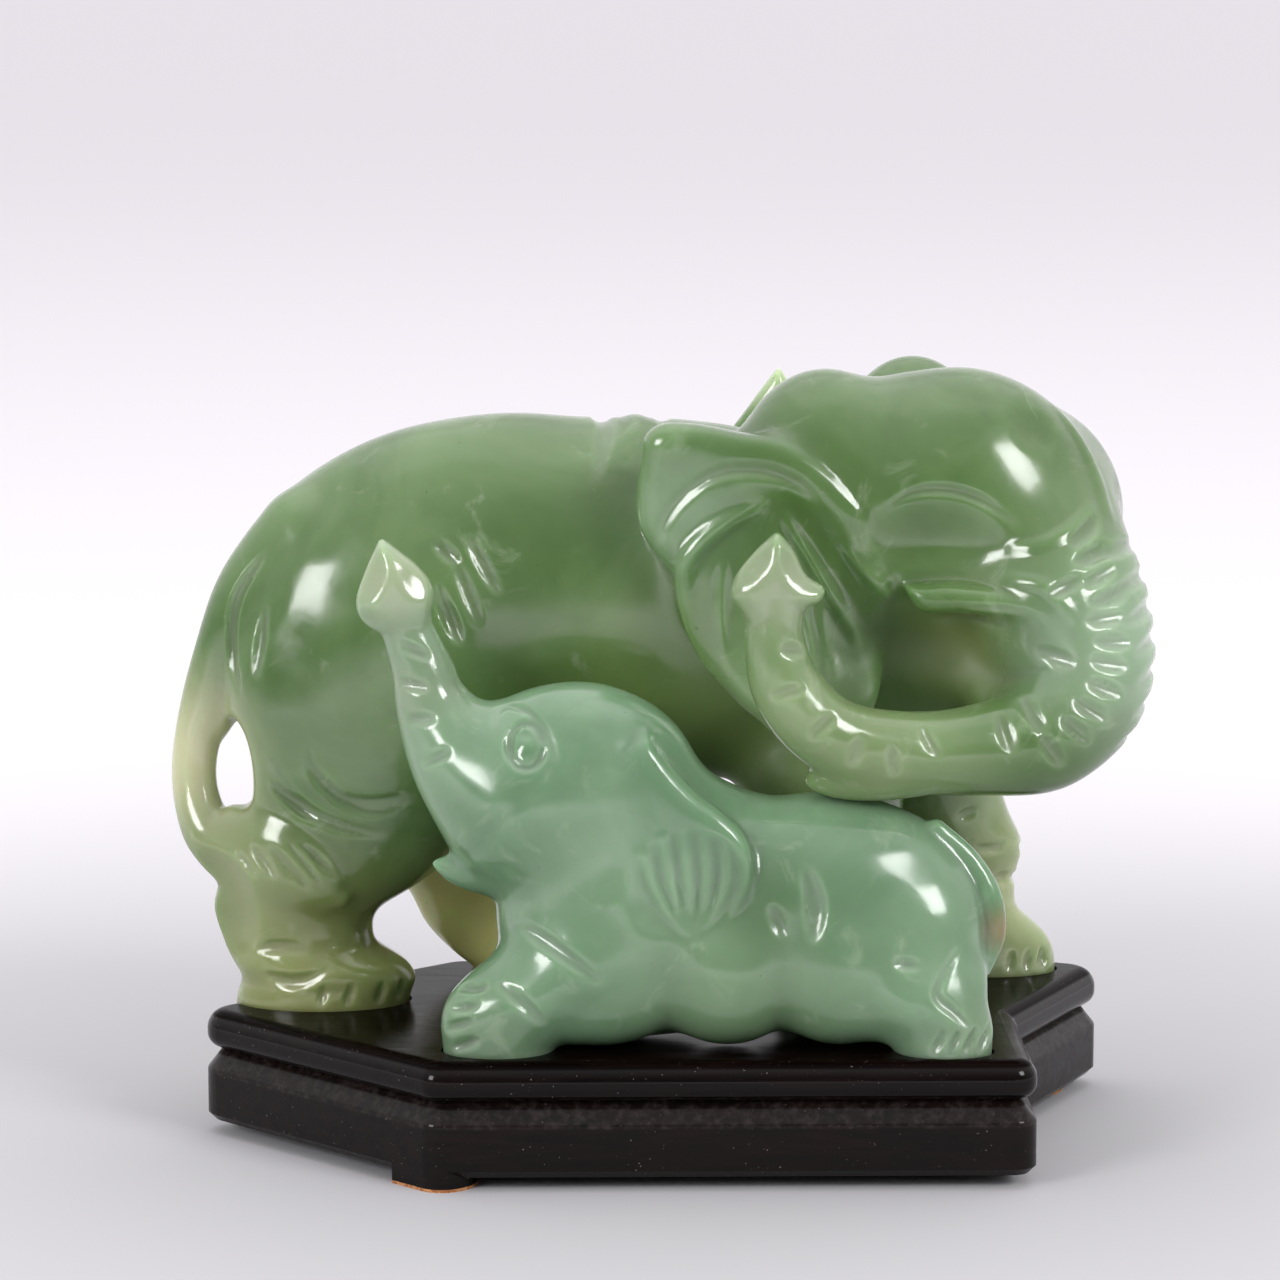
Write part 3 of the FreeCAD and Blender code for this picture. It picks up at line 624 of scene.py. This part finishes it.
CALF_TRUNK_TIP = ((-44.2, 103.9), (-41.6, 102), (-38, 99), (-35.8, 95.6), (-36, 92.2), (-37.6, 89),
                  (-43.6, 88.4), (-47, 90), (-48.2, 93.4), (-46.8, 98))
CALF_MIDDLE = -20.7
CALF_EYE = (-20.5, 71.5)
CALF_TRUNK_HUB = (-20, 78)
CALF_TRUNK_WRINKLES = ((-38.5, 86), (-38.8, 80.4), (-37.6, 75), (-35, 69))


def calf_ear_middle(x, z):
    """Y of the middle of the calf's near ear."""
    return -31.2 - 0.09 * (x - 5) + 0.004 * (z - 52) ** 2


def carve_calf():
    """The whole calf, in the same order as the cow."""
    calf = Stone((-52, -40, FOOT_BASE - 1), (62, 0, 107))
    for centre, radii, lean, reach in CALF_MASSES:
        calf.mass(centre, radii, lean, reach=reach)
    for leg in CALF_LEGS:
        pillar(calf, leg, 4)
    calf.limb(CALF_TRUNK, 4)
    calf.fan(CALF_TRUNK_TIP, lambda x, z: -22, 4.6, 5.0, 1.0)
    calf.facet((-45, 97.5), (-0.6, -0.75, 0.25), size=16, depth=0.8)
    calf.facet((-39, 97.5), (0.5, -0.8, 0.3), size=16, depth=0.7)
    calf.facet((-46, 91.5), (-0.5, -0.7, -0.5), size=16, depth=0.6)
    calf.limb(CALF_LIP, 2)
    calf.limb(CALF_TAIL, 1.5)
    calf.fan(CALF_EAR, calf_ear_middle, 3.4, 4.0, 1.5)
    calf.fan(CALF_EAR, lambda x, z: 2 * CALF_MIDDLE - calf_ear_middle(x, z), 3.0, 4.0, 1.5)
    calf.mass((5.6, -37.4, 48.8), (12, 4.4, 11.4), 10, reach=0.5, carve=True)
    calf.ripple(0.2, 6.2)
    calf.soften(2)
    detail_calf(calf)
    calf.level(FOOT_BASE)
    return calf


def detail_calf(calf):
    """Eyes, ear ribs, folds and toes."""
    eye(calf, CALF_EYE, (2.9, 3.4))
    eye(calf, CALF_EYE, (2.9, 3.4), "back")
    for path in (((-0.6, 60), (1.6, 51), (5, 43)), ((4.6, 60), (5.6, 51), (6.4, 43)),
                 ((9.4, 58), (9.4, 50), (8, 43))):
        calf.stroke(path, 1.1, 0.7, "back")
    for path in (((-31.6, 31.6), (-26.6, 32.4)), ((-33, 28.4), (-28, 30)),
                 ((-34, 25.2), (-29, 27.4)), ((-32.6, 22.2), (-28, 24.4))):
        calf.stroke(path, 1.0, 0.8)
    calf.stroke([(-25, 33), (-21, 30.4), (-17.6, 26.6)], 1.5, 0.7)
    calf.stroke([(-26, 74), (-24.5, 76.6), (-20.5, 76.4), (-17, 73.4), (-15.6, 69)], 1, 0.4)
    spokes(calf, CALF_TRUNK_HUB, CALF_TRUNK_WRINKLES, 5.6, 1.3, 0.6)
    for path in (((-1.8, 54.6), (0.6, 47.4), (4.6, 41.4)), ((1.4, 57), (2.8, 49), (5.4, 41.2)),
                 ((4.6, 57.6), (5.6, 49), (6.2, 41)), ((8, 57), (8.6, 49), (7.2, 41.2)),
                 ((11.4, 55.4), (11.4, 48.6), (8.4, 42))):
        calf.stroke(path, 1.1, 0.8, ridge=True)
    calf.stroke([(-21.5, 42), (-16, 39), (-8, 33.5)], 1.6, 0.9)
    calf.stroke([(19, 45.5), (21, 40.5)], 1.5, 0.7)
    calf.stroke([(24.5, 51.5), (26, 46), (25.5, 40)], 2.4, 1)
    calf.stroke([(49.5, 38.5), (45.5, 32), (48.5, 28.5), (51, 26)], 1.2, 0.7)
    calf.stroke([(38.5, 36.5), (43, 36)], 1.3, 0.6)
    for x in (44.6, 47.2, 49.8, 52.2):
        calf.stroke([(x, 21.8), (x + 1.4, 23.6), (x + 2.4, 26.2)], 0.9, 0.6)


# ------------------------------------------------------------------------------------------------
# Meshes
# ------------------------------------------------------------------------------------------------

# Distances are kept only this near to the surface when it is turned into a mesh.
SHELL = 3


def stone_piece(stone, name, material):
    """Mesh object in metres from a Stone, under the triangle limit, smooth shaded."""
    grid = openvdb.FloatGrid(FAR)
    shell = np.clip(stone.field, -SHELL, SHELL).astype(np.float32)
    grid.copyFromArray(shell, tolerance=0.0)
    points, quads = grid.convertToQuads(isovalue=0)
    places = stone.low + points * VOXEL
    mesh = bpy.data.meshes.new(name)
    mesh.from_pydata((places * MM).tolist(), [], quads[:, ::-1].tolist())
    mesh.validate()
    piece = bpy.data.objects.new(name, mesh)
    bpy.context.collection.objects.link(piece)
    worked = stone.sample(places, stone.worked).astype(np.float32)
    mesh.attributes.new("worked", "FLOAT", "POINT").data.foreach_set("value", worked)
    triangles = 2 * len(mesh.polygons)
    if triangles > MOST_TRIANGLES:
        thin = piece.modifiers.new("thin", "DECIMATE")
        thin.ratio = MOST_TRIANGLES / triangles
    mesh.shade_smooth()
    mesh.materials.append(material)
    return piece


# ------------------------------------------------------------------------------------------------
# Materials
# ------------------------------------------------------------------------------------------------

def srgb(red, green, blue):
    """Linear colour from 0-255 display values."""
    return tuple(((c / 255 + 0.055) / 1.055) ** 2.4 if c > 10 else c / 255 / 12.92
                 for c in (red, green, blue)) + (1.0,)


class Graph:
    """A material's node tree, with short calls for the nodes that this script uses."""

    def __init__(self, name):
        self.material = bpy.data.materials.new(name)
        self.material.use_nodes = True
        self.nodes = self.material.node_tree.nodes
        self.links = self.material.node_tree.links
        self.shader = self.nodes["Principled BSDF"]
        self.place = self.nodes.new("ShaderNodeTexCoord").outputs["Object"]

    def link(self, source, socket):
        self.links.new(source, socket)

    def fill(self, socket, value):
        """A constant set on a socket, or another node's output linked to it."""
        if isinstance(value, (int, float, tuple)):
            socket.default_value = value
        else:
            self.link(value, socket)

    def stretch(self, factors):
        """The place on the piece, scaled along each axis."""
        node = self.nodes.new("ShaderNodeVectorMath")
        node.operation = "MULTIPLY"
        self.link(self.place, node.inputs[0])
        node.inputs[1].default_value = factors
        return node.outputs[0]

    def height(self):
        """Height above the floor in metres."""
        node = self.nodes.new("ShaderNodeSeparateXYZ")
        self.link(self.place, node.inputs[0])
        return node.outputs["Z"]

    def noise(self, scale, detail=3, rough=0.5, warp=0.0, place=None):
        node = self.nodes.new("ShaderNodeTexNoise")
        node.inputs["Scale"].default_value = scale
        node.inputs["Detail"].default_value = detail
        node.inputs["Roughness"].default_value = rough
        node.inputs["Distortion"].default_value = warp
        self.link(place or self.place, node.inputs["Vector"])
        return node.outputs["Fac"]

    def ramp(self, value, low, high, start=0.0, end=1.0):
        """Smooth step from start at low to end at high."""
        node = self.nodes.new("ShaderNodeMapRange")
        node.interpolation_type = "SMOOTHSTEP"
        for socket, number in zip(node.inputs[1:5], (low, high, start, end)):
            socket.default_value = number
        self.link(value, node.inputs[0])
        return node.outputs[0]

    def near(self, centre, reach, inner=0.0):
        """1 at a place given in millimetres, fading to 0 at reach millimetres away."""
        node = self.nodes.new("ShaderNodeVectorMath")
        node.operation = "DISTANCE"
        self.link(self.place, node.inputs[0])
        node.inputs[1].default_value = Vector(centre) * MM
        return self.ramp(node.outputs["Value"], inner * MM, reach * MM, 1, 0)

    def math(self, operation, a, b):
        node = self.nodes.new("ShaderNodeMath")
        node.operation = operation
        for socket, value in zip(node.inputs, (a, b)):
            self.fill(socket, value)
        return node.outputs[0]

    def mix(self, share, first, second):
        """Colour between the first at share 0 and the second at share 1."""
        node = self.nodes.new("ShaderNodeMix")
        node.data_type = "RGBA"
        for number, value in ((0, share), (6, first), (7, second)):
            self.fill(node.inputs[number], value)
        return node.outputs[2]

    def attribute(self, name):
        node = self.nodes.new("ShaderNodeAttribute")
        node.attribute_name = name
        return node.outputs["Fac"]

    def bump(self, height, strength, distance, base=None):
        """Relief of a given depth in millimetres, over another relief if there is one."""
        node = self.nodes.new("ShaderNodeBump")
        node.inputs["Strength"].default_value = strength
        node.inputs["Distance"].default_value = distance * MM
        self.link(height, node.inputs["Height"])
        if base:
            self.link(base, node.inputs["Normal"])
        return node.outputs[0]

    def set(self, **values):
        """Inputs of the main shader, by name with underscores for spaces."""
        for name, value in values.items():
            self.fill(self.shader.inputs[name.replace("_", " ")], value)


PALE_VEIN = srgb(196, 208, 184)
DARK_FLAW = srgb(60, 70, 40)
FROSTED = srgb(205, 220, 195)
STONE_GLAZE = 0.25

PALE_SPECK = srgb(150, 140, 135)
# Pale flecks: partly dust, partly painted sheen where a face catches the light.
DUST_AND_SHEEN = srgb(64, 57, 55)


def jade(name, deep, pale, tints_and_painted_light, unpolished=()):
    """Polished translucent stone: a body colour with clouds, patches of colour round given places,
    some of them painted light on parts in shade or facing the light, and hollows that the polishing
    wheel couldn't reach."""
    graph = Graph(name)
    clouds = graph.noise(38, detail=4, rough=0.55, warp=0.6)
    colour = graph.mix(graph.ramp(clouds, 0.3, 0.72), deep, pale)
    # Colour patches; some are painted light that brightens parts in shade or facing the light.
    for place, reach, tint, strength in tints_and_painted_light:
        share = graph.math("MULTIPLY", graph.near(place, reach), strength)
        colour = graph.mix(share, colour, tint)
    veins = graph.ramp(graph.noise(95, detail=5, rough=0.6, warp=1.2), 0.58, 0.76, end=0.2)
    colour = graph.mix(veins, colour, PALE_VEIN)
    specks = graph.ramp(graph.noise(900, detail=2), 0.76, 0.80, end=0.5)
    colour = graph.mix(specks, colour, DARK_FLAW)
    worked = graph.attribute("worked")
    frost = graph.math("MULTIPLY", worked, 0.2)
    colour = graph.mix(frost, colour, FROSTED)
    roughness = graph.ramp(graph.noise(160), 0.3, 0.75, start=0.13, end=0.24)
    roughness = graph.math("ADD", roughness, graph.math("MULTIPLY", worked, 0.14))
    coat = STONE_GLAZE
    for place, reach in unpolished:
        hollow = graph.near(place, reach, reach / 2)
        roughness = graph.math("ADD", roughness, graph.math("MULTIPLY", hollow, 0.34))
        coat = graph.math("MULTIPLY", graph.math("SUBTRACT", 1.0, hollow), coat)
    fine = graph.bump(graph.noise(1400, detail=2), strength=0.12, distance=0.05)
    relief = graph.bump(graph.noise(120), strength=0.25, distance=0.25, base=fine)
    graph.set(Base_Color=colour, Roughness=roughness, Subsurface_Weight=1.0,
              Subsurface_Radius=(0.6, 1.0, 0.55), Subsurface_Scale=0.006, IOR=1.6,
              Coat_Weight=coat, Coat_Roughness=0.08, Normal=relief)
    return graph.material


def lacquer(name, dark, warm, shine, relief, worn, dust_and_sheen_heights):
    """Dark stained wood: long grain along X, rubbed warm patches, pores, and pale flecks that are
    partly dust and partly painted sheen. The gloss is worn off above the height worn, and the pale
    flecks lie in the band of heights dust_and_sheen_heights, in millimetres."""
    graph = Graph(name)
    along = graph.stretch((1.0, 7.0, 9.0))
    grain = graph.noise(60, detail=6, rough=0.6, warp=0.8, place=along)
    pores = graph.noise(420, rough=0.6, warp=0.2, place=graph.stretch((1.0, 6.0, 8.0)))
    rubbed = graph.noise(26, warp=0.4)
    colour = graph.mix(graph.ramp(grain, 0.35, 0.7), dark, warm)
    colour = graph.mix(graph.ramp(rubbed, 0.5, 0.75, end=0.5), colour, warm)
    specks = graph.ramp(graph.noise(2600, detail=1, rough=0.4), 0.77, 0.79, end=0.5)
    colour = graph.mix(specks, colour, PALE_SPECK)
    # Paler flecks in a band of heights: partly dust in the groove, partly painted sheen on the face
    # that catches the light.
    low, high = dust_and_sheen_heights
    height = graph.height()
    band = graph.math("MULTIPLY", graph.ramp(height, (low - 0.5) * MM, low * MM),
                      graph.ramp(height, high * MM, (high + 0.3) * MM, start=1, end=0))
    flecks = graph.ramp(graph.noise(700, detail=4, rough=0.6), 0.4, 0.75, start=0.05, end=0.45)
    colour = graph.mix(graph.math("MULTIPLY", band, flecks), colour, DUST_AND_SHEEN)
    roughness = graph.ramp(grain, 0.3, 0.75, start=shine, end=shine + 0.16)
    polish = graph.ramp(height, (worn - 0.5) * MM, worn * MM, start=1, end=0)
    uneven = graph.math("ADD", graph.math("MULTIPLY", pores, 0.6), grain)
    graph.set(Base_Color=colour, Roughness=roughness,
              Specular_IOR_Level=graph.math("ADD", graph.math("MULTIPLY", polish, 0.05), 0.02),
              Coat_Weight=graph.math("MULTIPLY", polish, 0.3), Coat_Roughness=0.05,
              Normal=graph.bump(uneven, relief, distance=0.2))
    return graph.material


def cork():
    """Orange-brown grains."""
    graph = Graph("cork_pad")
    grains = graph.noise(1500, rough=0.6)
    colour = graph.mix(graph.ramp(grains, 0.4, 0.62), srgb(150, 92, 52), srgb(196, 140, 92))
    relief = graph.bump(grains, strength=0.6, distance=0.2)
    graph.set(Base_Color=colour, Roughness=0.9, Normal=relief)
    return graph.material


def bare_wood():
    """Pale wood with upright grain."""
    graph = Graph("dowel_wood")
    upright = graph.stretch((6.0, 6.0, 1.0))
    grain = graph.noise(300, detail=4, rough=0.6, warp=0.4, place=upright)
    colour = graph.mix(graph.ramp(grain, 0.35, 0.65), srgb(178, 140, 96), srgb(206, 172, 128))
    relief = graph.bump(grain, strength=0.4, distance=0.1)
    graph.set(Base_Color=colour, Roughness=0.7, Normal=relief)
    return graph.material


def paper_with_painted_shade():
    """Matt white paper, greyed near the piece by painted shade."""
    graph = Graph("backdrop_painted_shade")
    # Painted shade: the paper is made greyer near the piece, where shade falls.
    painted_shade_near_piece = graph.near((0, 0, 0), reach=500, inner=40)
    graph.set(Base_Color=graph.mix(painted_shade_near_piece, srgb(240, 237, 241), srgb(188, 187, 190)),
              Roughness=0.95, Specular_IOR_Level=0.1)
    return graph.material


# Centre in millimetres, reach, colour and strength of each tint; those marked below are painted
# light.
COW_TINTS_AND_PAINTED_LIGHT = (
    ((-60, 0, 24), 36, srgb(146, 152, 96), 0.95),
    # Painted light: the far hind leg, which lies in shade, is made much paler.
    ((-26, 31, 26), 44, srgb(226, 222, 150), 0.95),
    ((-78, 12, 62), 22, srgb(205, 202, 168), 0.9),
    ((-69, 5, 46), 17, srgb(146, 156, 112), 0.85),
    ((20, -26, 97), 15, srgb(158, 168, 140), 0.95),
    ((22, -26, 78), 16, srgb(152, 168, 128), 0.8),
    ((34, -24, 69), 18, srgb(146, 162, 118), 0.75),
    ((46, -22, 69), 16, srgb(142, 162, 118), 0.6),
    # Painted light: the shaded belly and chest behind the calf are made paler.
    ((0, -4, 62), 38, srgb(134, 160, 92), 0.85),
    ((20, 2, 66), 26, srgb(134, 158, 92), 0.75),
    ((52, -6, 84), 17, srgb(128, 142, 80), 0.8),
    # Painted light: the front of the near ear, upper and lower, is made paler and bluer where it
    # faces the light.
    ((4, -10, 106), 18, srgb(122, 150, 114), 0.7),
    ((20, -10, 80), 19, srgb(134, 158, 122), 0.75),
    # Painted light: the shaded top of the far hind leg is made paler still.
    ((-32, 30, 38), 22, srgb(240, 238, 165), 0.9),
    ((58, 33, 34), 34, srgb(178, 186, 138), 0.85),
    # Painted light: the root of the trunk is made paler and bluer where it faces the light.
    ((74, -10, 84), 25, srgb(160, 182, 158), 0.9),
    ((22, 34, 124), 10, srgb(196, 206, 170), 0.8),
)
# Hollows that the wheel couldn't polish: behind the calf, in the mouth and behind the trunk.
COW_HOLLOWS = (((16, 0, 60), 26), ((44, -6, 82), 18), ((27, -6, 72), 12))

CALF_TINTS = (
    ((-42, -22, 97), 14, srgb(168, 174, 144), 0.95),
    ((-38, -22, 80), 14, srgb(136, 148, 122), 0.85),
    ((-34, -22, 66), 14, srgb(132, 154, 126), 0.6),
    ((-27, -30, 24), 14, srgb(100, 118, 90), 0.75),
    ((50, -30, 24), 12, srgb(136, 152, 126), 0.7),
    ((56.5, -24, 40), 6, srgb(136, 106, 66), 0.85),
    ((18, -33, 46), 15, srgb(84, 114, 78), 0.7),
    ((14, -26, 26), 34, srgb(110, 134, 96), 0.6),
)


# ------------------------------------------------------------------------------------------------
# Camera, light and floor
# ------------------------------------------------------------------------------------------------

CAMERA_PLACE = (1, -777, 197)
CAMERA_TARGET = (-2.4, 13, 82)
LENS = 132.47
SENSOR = 36

# Place, size and power of each softbox, in metres and watts, and the point they all face.
SOFTBOXES = {
    "box_left": ((-0.95, -1.0, 0.6), (0.5, 0.5), 10),
    "box_right": ((1.0, -0.85, 0.85), (0.5, 0.5), 10),
    "box_top": ((0, 0.5, 2.2), (2.6, 2.2), 8),
}
LIT_POINT = (0, 0, 0.06)

# The surround brightens from SKY_DIM to SKY_BRIGHT as the cosine of the angle between a direction
# and SKY_TOP rises from SKY_FROM to SKY_TO.
SKY_TOP = (0, 0.6, 0.8)
SKY_FROM, SKY_TO = -0.6, 0.9
SKY_DIM, SKY_BRIGHT = 0.2, 1.26


def point_at(thing, target):
    """Turn a camera or a light towards a point."""
    aim = Vector(target) - thing.location
    thing.rotation_euler = aim.to_track_quat("-Z", "Y").to_euler()


def add_camera():
    """Long lens, a little above the piece and looking slightly down on it."""
    data = bpy.data.cameras.new("camera")
    data.lens = LENS
    data.sensor_width = SENSOR
    data.clip_end = 100
    camera = bpy.data.objects.new("camera", data)
    camera.location = Vector(CAMERA_PLACE) * MM
    bpy.context.collection.objects.link(camera)
    point_at(camera, Vector(CAMERA_TARGET) * MM)
    bpy.context.scene.camera = camera


def softbox(name, place, size, power):
    data = bpy.data.lights.new(name, "AREA")
    data.shape = "RECTANGLE"
    data.size, data.size_y = size
    data.energy = power
    light = bpy.data.objects.new(name, data)
    light.location = place
    bpy.context.collection.objects.link(light)
    point_at(light, LIT_POINT)


def add_light():
    """Two window-like boxes in front, a wide one above, and the pale surround."""
    for name, (place, size, power) in SOFTBOXES.items():
        softbox(name, place, size, power)
    bpy.context.scene.view_settings.view_transform = "Standard"
    add_sky()


def add_sky():
    """Pale surround, brighter above and behind the piece than in front of it."""
    world = bpy.data.worlds.new("studio")
    world.use_nodes = True
    nodes, links = world.node_tree.nodes, world.node_tree.links
    toward = nodes.new("ShaderNodeVectorMath")
    toward.operation = "DOT_PRODUCT"
    toward.inputs[1].default_value = SKY_TOP
    links.new(nodes.new("ShaderNodeTexCoord").outputs["Generated"], toward.inputs[0])
    glow = nodes.new("ShaderNodeMapRange")
    glow.interpolation_type = "SMOOTHSTEP"
    for socket, number in zip(glow.inputs[1:5], (SKY_FROM, SKY_TO, SKY_DIM, SKY_BRIGHT)):
        socket.default_value = number
    links.new(toward.outputs["Value"], glow.inputs[0])
    links.new(glow.outputs[0], nodes["Background"].inputs["Strength"])
    nodes["Background"].inputs["Color"].default_value = srgb(241, 239, 242)
    bpy.context.scene.world = world


def add_floor():
    bpy.ops.mesh.primitive_circle_add(vertices=96, radius=30, fill_type="NGON")
    floor = bpy.context.object
    floor.name = "floor"
    floor.data.materials.append(paper_with_painted_shade())


# ------------------------------------------------------------------------------------------------
# Putting it together
# ------------------------------------------------------------------------------------------------

def paint_node(name, material):
    """One material in every slot of a CAD node."""
    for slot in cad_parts[name].material_slots:
        slot.material = material


def paint_stand():
    top = lacquer("top_lacquer", dark=srgb(5, 2, 2), warm=srgb(15, 6, 5), shine=0.12, relief=0.12,
                  worn=20.2, dust_and_sheen_heights=(14.4, 15.2))
    base = lacquer("base_stain", dark=srgb(6, 3, 2), warm=srgb(20, 9, 7), shine=0.3, relief=0.35,
                   worn=13.6, dust_and_sheen_heights=(10.6, 14.6))
    paint_node("stand_top_board", top)
    paint_node("stand_base_board", base)
    paint_node("board_dowels", bare_wood())
    pad = cork()
    for corner in ("front_left", "front_right", "back_right", "back_left"):
        paint_node("foot_" + corner, base)
        paint_node("pad_" + corner, pad)


def add_stones():
    """Sculpted stones that ride with the carving and stand in for its two CAD nodes."""
    cow_jade = jade("cow_jade", deep=srgb(79, 109, 57), pale=srgb(105, 133, 84),
                    tints_and_painted_light=COW_TINTS_AND_PAINTED_LIGHT, unpolished=COW_HOLLOWS)
    calf_jade = jade("calf_jade", deep=srgb(104, 136, 104), pale=srgb(126, 156, 124),
                     tints_and_painted_light=CALF_TINTS)
    for beast, build, material in (("cow", carve_cow, cow_jade), ("calf", carve_calf, calf_jade)):
        piece = stone_piece(build(), beast + "_stone", material)
        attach(piece, "carving")
        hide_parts(beast + "_carving")


add_camera()
add_light()
add_floor()
paint_stand()
add_stones()
